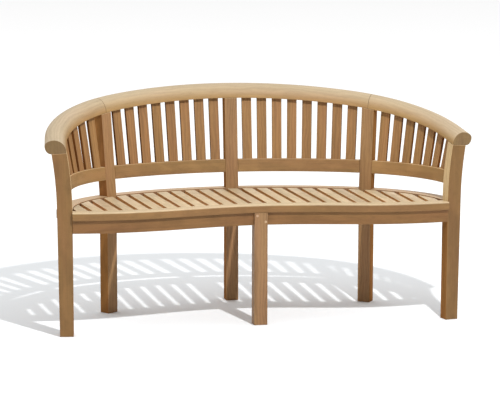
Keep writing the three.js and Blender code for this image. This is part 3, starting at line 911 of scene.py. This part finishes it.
@dataclass
class Seat:
    """The seat: its front rail, the slats that fan out behind it and the border round them."""

    plan: BenchPlan
    posts: Posts
    bays: Sequence[Bay]
    rail_width: float = 0.055
    thickness: float = 0.027
    rail_round: float = 0.006
    rail_facets: int = 6
    rail_eased: float = 0.0008
    slats_each_side: int = 12
    slat_gap: float = 0.0175
    fan_radius: float = 8.0
    slat_thickness: float = 0.020
    slat_end_gap: float = 0.001
    slat_end_cuts: int = 60
    cut_reach: float = 0.03
    slat_tones: tuple[float, ...] = (0.0, 0.1, 0.25, 0.5, 0.8)
    eased: float = 0.0010
    border_width: float = 0.055
    border_proud: float = 0.003
    border_bend_step: float = 0.018
    border_tones: Pair = (0.1, 0.4)
    border_eased: float = 0.0012

    def saw_at_arms(self, piece: Workpiece) -> None:
        """Saws a carried piece off on both sides where the arms' inner faces stand."""
        for side in (-1, 1):
            there = self.plan.standing(side * self.plan.arm_end)
            piece.cut(there @ Vector((0, -FIT, 0)), there.col[1].to_3d())

    def front_rail(self) -> None:
        """Builds the front rail, with a round upper arris."""
        plan, top = self.plan, self.plan.seat_top
        bottom, r = top - self.thickness, self.rail_round
        section = [(0, bottom), (self.rail_width, bottom), (self.rail_width, top), (r, top),
                   *quarter((r, top - r), (r, r), 90, self.rail_facets)]
        reach = plan.line(plan.arm_end)[0].x + OVERRUN
        rail = board("wood_seat_front_rail", section, (-reach, reach), Teak.SEAT, tone=0.2)
        rail.carry(plan.on_front)
        self.saw_at_arms(rail)
        rail.ease(self.rail_eased, 2)
        rail.done("seat_front_rail_and_slats")

    def slat(self, place: int, tone: float) -> None:
        """Builds one slat of the fan, cut to the front rail and to the border's curve.

        Args:
            place: Its place from the middle, negative to the left.
            tone: Its tone.
        """
        plan, number = self.plan, place + self.slats_each_side + 1
        pitch = plan.line(plan.arm_end)[0].x / self.slats_each_side
        half, turn = (pitch - self.slat_gap) / 2, place * pitch / self.fan_radius
        x = (self.fan_radius - plan.seat_depth) * math.tan(turn)
        front = math.hypot(x, self.fan_radius + plan.front(x)) - self.fan_radius
        corners = rectangle(-half, plan.seat_top - self.slat_thickness, half, plan.seat_top)
        slat = Workpiece(f"wood_seat_slat_{number}", [(along, front, z) for along, z in corners],
                         (0, OVERRUN - front, 0), Teak.SEAT, grain_axis=1, tone=tone)
        pivot = Matrix.Translation((0, plan.middle_y - self.fan_radius, 0))
        fan = pivot @ Matrix.Rotation(-turn, 4, "Z") @ Matrix.Translation((0, self.fan_radius, 0))
        straight = fan.inverted()
        left = plan.on_front(Vector((x - half, self.rail_width + FIT, 0)))
        right = plan.on_front(Vector((x + half, self.rail_width + FIT, 0)))
        across = (straight @ right - straight @ left).normalized()
        slat.cut(straight @ left, Vector((across.y, -across.x, 0)))
        for i in range(-self.slat_end_cuts, self.slat_end_cuts + 1):
            there = straight @ plan.standing(plan.arm_end * i / self.slat_end_cuts)
            if abs(there.translation.x) < half + self.cut_reach:
                slat.cut(there @ Vector((0, -self.slat_end_gap, 0)), there.col[1].to_3d())
        slat.ease(self.eased, 2)
        # Painted light on the slat's side faces.
        slat.dress(0, Teak.SEAT_EDGE)
        slat.carry(fan)
        slat.done()

    def border(self, bay: Bay, tone: float) -> None:
        """Builds one length of the border, notched round the posts at its ends.

        Args:
            bay: The bay that it lies in.
            tone: Its tone.
        """
        top = self.plan.seat_top + self.border_proud
        start, end = bay.start + FIT / 2, bay.end - FIT / 2
        inner = bay.start + self.posts.width / 2 + FIT if bay.post_at_start else start
        outer = bay.end - self.posts.width / 2 - FIT if bay.post_at_end else end
        deep, notch = self.border_width, self.posts.depth + FIT
        outline = [(inner, 0), (outer, 0)]
        outline += [(outer, notch), (end, notch)] if bay.post_at_end else []
        outline += [(end, deep), (start, deep)]
        outline += [(start, notch), (inner, notch)] if bay.post_at_start else []
        corners = [(x, out, top - self.thickness) for x, out in outline]
        border = Workpiece(f"wood_seat_border_{bay.name}", corners, (0, 0, self.thickness),
                           Teak.BORDER, tone=tone)
        border.ease(self.border_eased, 2)
        border.carry(self.plan.level, self.border_bend_step)
        border.done(f"seat_border_{bay.name}")

    def build(self) -> None:
        """Builds the front rail, the slats and the border."""
        self.front_rail()
        chance = random.Random("seat slats")
        for place in range(-self.slats_each_side, self.slats_each_side + 1):
            self.slat(place, chance.choice(self.slat_tones))
        for bay in self.bays:
            self.border(bay, chance.uniform(*self.border_tones))


@dataclass
class Underframe:
    """The aprons below the seat and the bearer in its middle."""

    plan: BenchPlan
    posts: Posts
    bays: Sequence[Bay]
    seat: Seat
    front_height: float = 0.045
    front_thickness: float = 0.022
    front_set_back: float = 0.010
    back_height: float = 0.050
    back_thickness: float = 0.022
    back_set_back: float = 0.008
    bearer_width: float = 0.030
    bearer_height: float = 0.040
    tone: float = 0.2
    eased: float = 0.0013

    def front_aprons(self) -> None:
        """Builds the two aprons under the front rail."""
        plan = self.plan
        top = plan.seat_top - self.seat.thickness - FIT
        reach = plan.line(plan.arm_end)[0].x + OVERRUN
        section = rectangle(self.front_set_back, top - self.front_height,
                            self.front_set_back + self.front_thickness, top)
        for name, side, tone in (("front_apron_left", -1, 0.45), ("front_apron_right", 1, 0.0)):
            start, end = sorted((side * (self.posts.leg_width / 2 + FIT), side * reach))
            apron = board(f"wood_{name}", section, (start, end), Teak.APRON, tone)
            apron.carry(plan.on_front)
            self.seat.saw_at_arms(apron)
            apron.ease(self.eased)
            apron.done(name)

    def back_aprons(self) -> None:
        """Builds the aprons under the border."""
        top = self.plan.seat_top + self.seat.border_proud - self.seat.thickness - FIT
        section = rectangle(self.back_set_back, top - self.back_height,
                            self.back_set_back + self.back_thickness, top)
        for bay in self.bays:
            apron = board(f"wood_back_apron_{bay.name}", section, bay.between(self.posts.width),
                          Teak.APRON, self.tone)
            apron.ease(self.eased)
            apron.carry(self.plan.level)
            apron.done(f"back_apron_{bay.name}")

    def bearer(self) -> None:
        """Builds the bearer, stepped down at its front end to pass under the front rail."""
        plan, half = self.plan, self.bearer_width / 2
        under_rail = plan.seat_top - self.seat.thickness - FIT
        under_slats = plan.seat_top - self.seat.slat_thickness - FIT
        low = under_rail - self.bearer_height
        front = plan.front(0) + self.posts.leg_set_back + self.posts.leg_depth + FIT
        step = plan.front(0) + self.seat.rail_width + FIT
        profile = [(front, low), (-FIT, low), (-FIT, under_slats), (step, under_slats),
                   (step, under_rail), (front, under_rail)]
        bearer = board("wood_centre_bearer", profile, (-half, half), Teak.APRON, self.tone,
                       grain_axis=1)
        bearer.ease(self.eased)
        bearer.carry(Matrix.Translation((0, plan.middle_y, 0)))
        bearer.done("centre_bearer")

    def build(self) -> None:
        """Builds the aprons and the bearer."""
        self.front_aprons()
        self.back_aprons()
        self.bearer()


@dataclass
class Studio:
    """The pale floor, a white studio that is brightest behind the bench, and the camera."""

    middle_y: float
    # Painted light: the floor grows paler from the near colour to the far one across the fade, standing
    # in for light the lamp gives less of far off.
    floor_near: Colour = (0.87, 0.895, 0.915)
    floor_far: Colour = (0.99, 0.99, 0.99)
    floor_reach: float = 300.0
    floor_roughness: float = 0.9
    fade: Pair = (2.0, 4.0)
    dim: float = 0.05
    bright: float = 1.11
    towards_bright: Triple = (0.0, 0.55, 0.83)
    brightening: Pair = (-0.6, 0.8)
    lamp_power: float = 31.0
    lamp_radius: float = 0.06
    lamp_at: Triple = (0.42, -2.80, 3.08)
    eye: Triple = (-1.3786326, -6.2555294, 1.2473843)
    yaw: float = 0.22740093
    pitch: float = 0.13634616
    roll: float = 0.00219046
    lens: float = 122.91494
    sensor: float = 36.0

    def floor(self) -> None:
        """Lays the floor, which is painted palest far from the bench as painted light."""
        mesh = bmesh.new()
        bmesh.ops.create_grid(mesh, x_segments=1, y_segments=1, size=self.floor_reach)
        data = bpy.data.meshes.new("floor")
        mesh.to_mesh(data)
        mesh.free()
        floor = link("floor", data)
        material = bpy.data.materials.new("pale_floor")
        material.use_nodes = True
        tree = Tree(material.node_tree)
        place = tree.add("ShaderNodeTexCoord").outputs["Object"]
        away = tree.add("ShaderNodeVectorMath", {0: place}, operation="LENGTH").outputs["Value"]
        pale = tree.blend(tree.ramp(away, self.fade), self.floor_near, self.floor_far)
        tree.feed(material.node_tree.nodes["Principled BSDF"], {
            "Base Color": pale, "Roughness": self.floor_roughness, "Specular IOR Level": 0.0})
        data.materials.append(material)

    def sky(self) -> None:
        """Makes the studio's white walls and ceiling, dim in front and bright behind the bench."""
        world = bpy.data.worlds.new("white_studio")
        world.use_nodes = True
        tree = Tree(world.node_tree)
        around = tree.add("ShaderNodeTexCoord").outputs["Generated"]
        facing = tree.add("ShaderNodeVectorMath", {0: around, 1: self.towards_bright},
                          operation="DOT_PRODUCT").outputs["Value"]
        shade = tree.ramp(facing, self.brightening, (self.dim, self.bright))
        tree.feed(world.node_tree.nodes["Background"], {"Color": (1.0, 1.0, 1.0, 1), "Strength": shade})
        bpy.context.scene.world = world

    def lamp(self) -> None:
        """Hangs the lamp that throws the shadow, as strong far from it as near to it."""
        data = bpy.data.lights.new("lamp", "POINT")
        data.energy = self.lamp_power
        data.shadow_soft_size = self.lamp_radius
        data.use_nodes = True
        tree = Tree(data.node_tree)
        even = tree.add("ShaderNodeLightFalloff", {"Strength": 1.0}).outputs["Constant"]
        tree.feed(data.node_tree.nodes["Emission"], {"Strength": even})
        link("lamp", data).location = Vector(self.lamp_at) + Vector((0, self.middle_y, 0))

    def camera(self) -> None:
        """Puts the camera where the photograph was taken from."""
        data = bpy.data.cameras.new("camera")
        data.sensor_width = self.sensor
        data.lens = self.lens
        cos_p, sin_p = math.cos(self.pitch), math.sin(self.pitch)
        forward = Vector((math.sin(self.yaw) * cos_p, math.cos(self.yaw) * cos_p, -sin_p))
        right = Vector((math.cos(self.yaw), -math.sin(self.yaw), 0))
        up = right.cross(forward)
        cos_r, sin_r = math.cos(self.roll), math.sin(self.roll)
        turned = Matrix((right * cos_r + up * sin_r, up * cos_r - right * sin_r, -forward)).transposed()
        camera = link("camera", data)
        eye = Vector(self.eye) + Vector((0, self.middle_y, 0))
        camera.matrix_world = Matrix.Translation(eye) @ turned.to_4x4()
        bpy.context.scene.camera = camera
        bpy.context.scene.view_settings.view_transform = "Standard"

    def build(self) -> None:
        """Builds the whole studio."""
        self.floor()
        self.sky()
        self.lamp()
        self.camera()


def main() -> None:
    """Builds the studio and every sub-assembly."""
    logging.basicConfig(level=logging.INFO, format="%(message)s")
    plan = BenchPlan(middle_y=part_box("centre_back_post")[0].y)
    posts = Posts(plan)
    arm, side = plan.arm_end - posts.arm_depth, plan.side_post_at
    bays = [Bay("left_arm", -arm, -side, slats=7, post_at_start=False),
            Bay("left_back", -side, 0, slats=8),
            Bay("right_back", 0, side, slats=8),
            Bay("right_arm", side, arm, slats=7, post_at_end=False)]
    Studio(plan.middle_y).build()
    posts.build()
    TopRail(plan).build()
    Back(plan, posts, bays).build()
    seat = Seat(plan, posts, bays)
    seat.build()
    Underframe(plan, posts, bays, seat).build()
    bpy.context.view_layer.update()


if __name__ == "__main__":
    main()
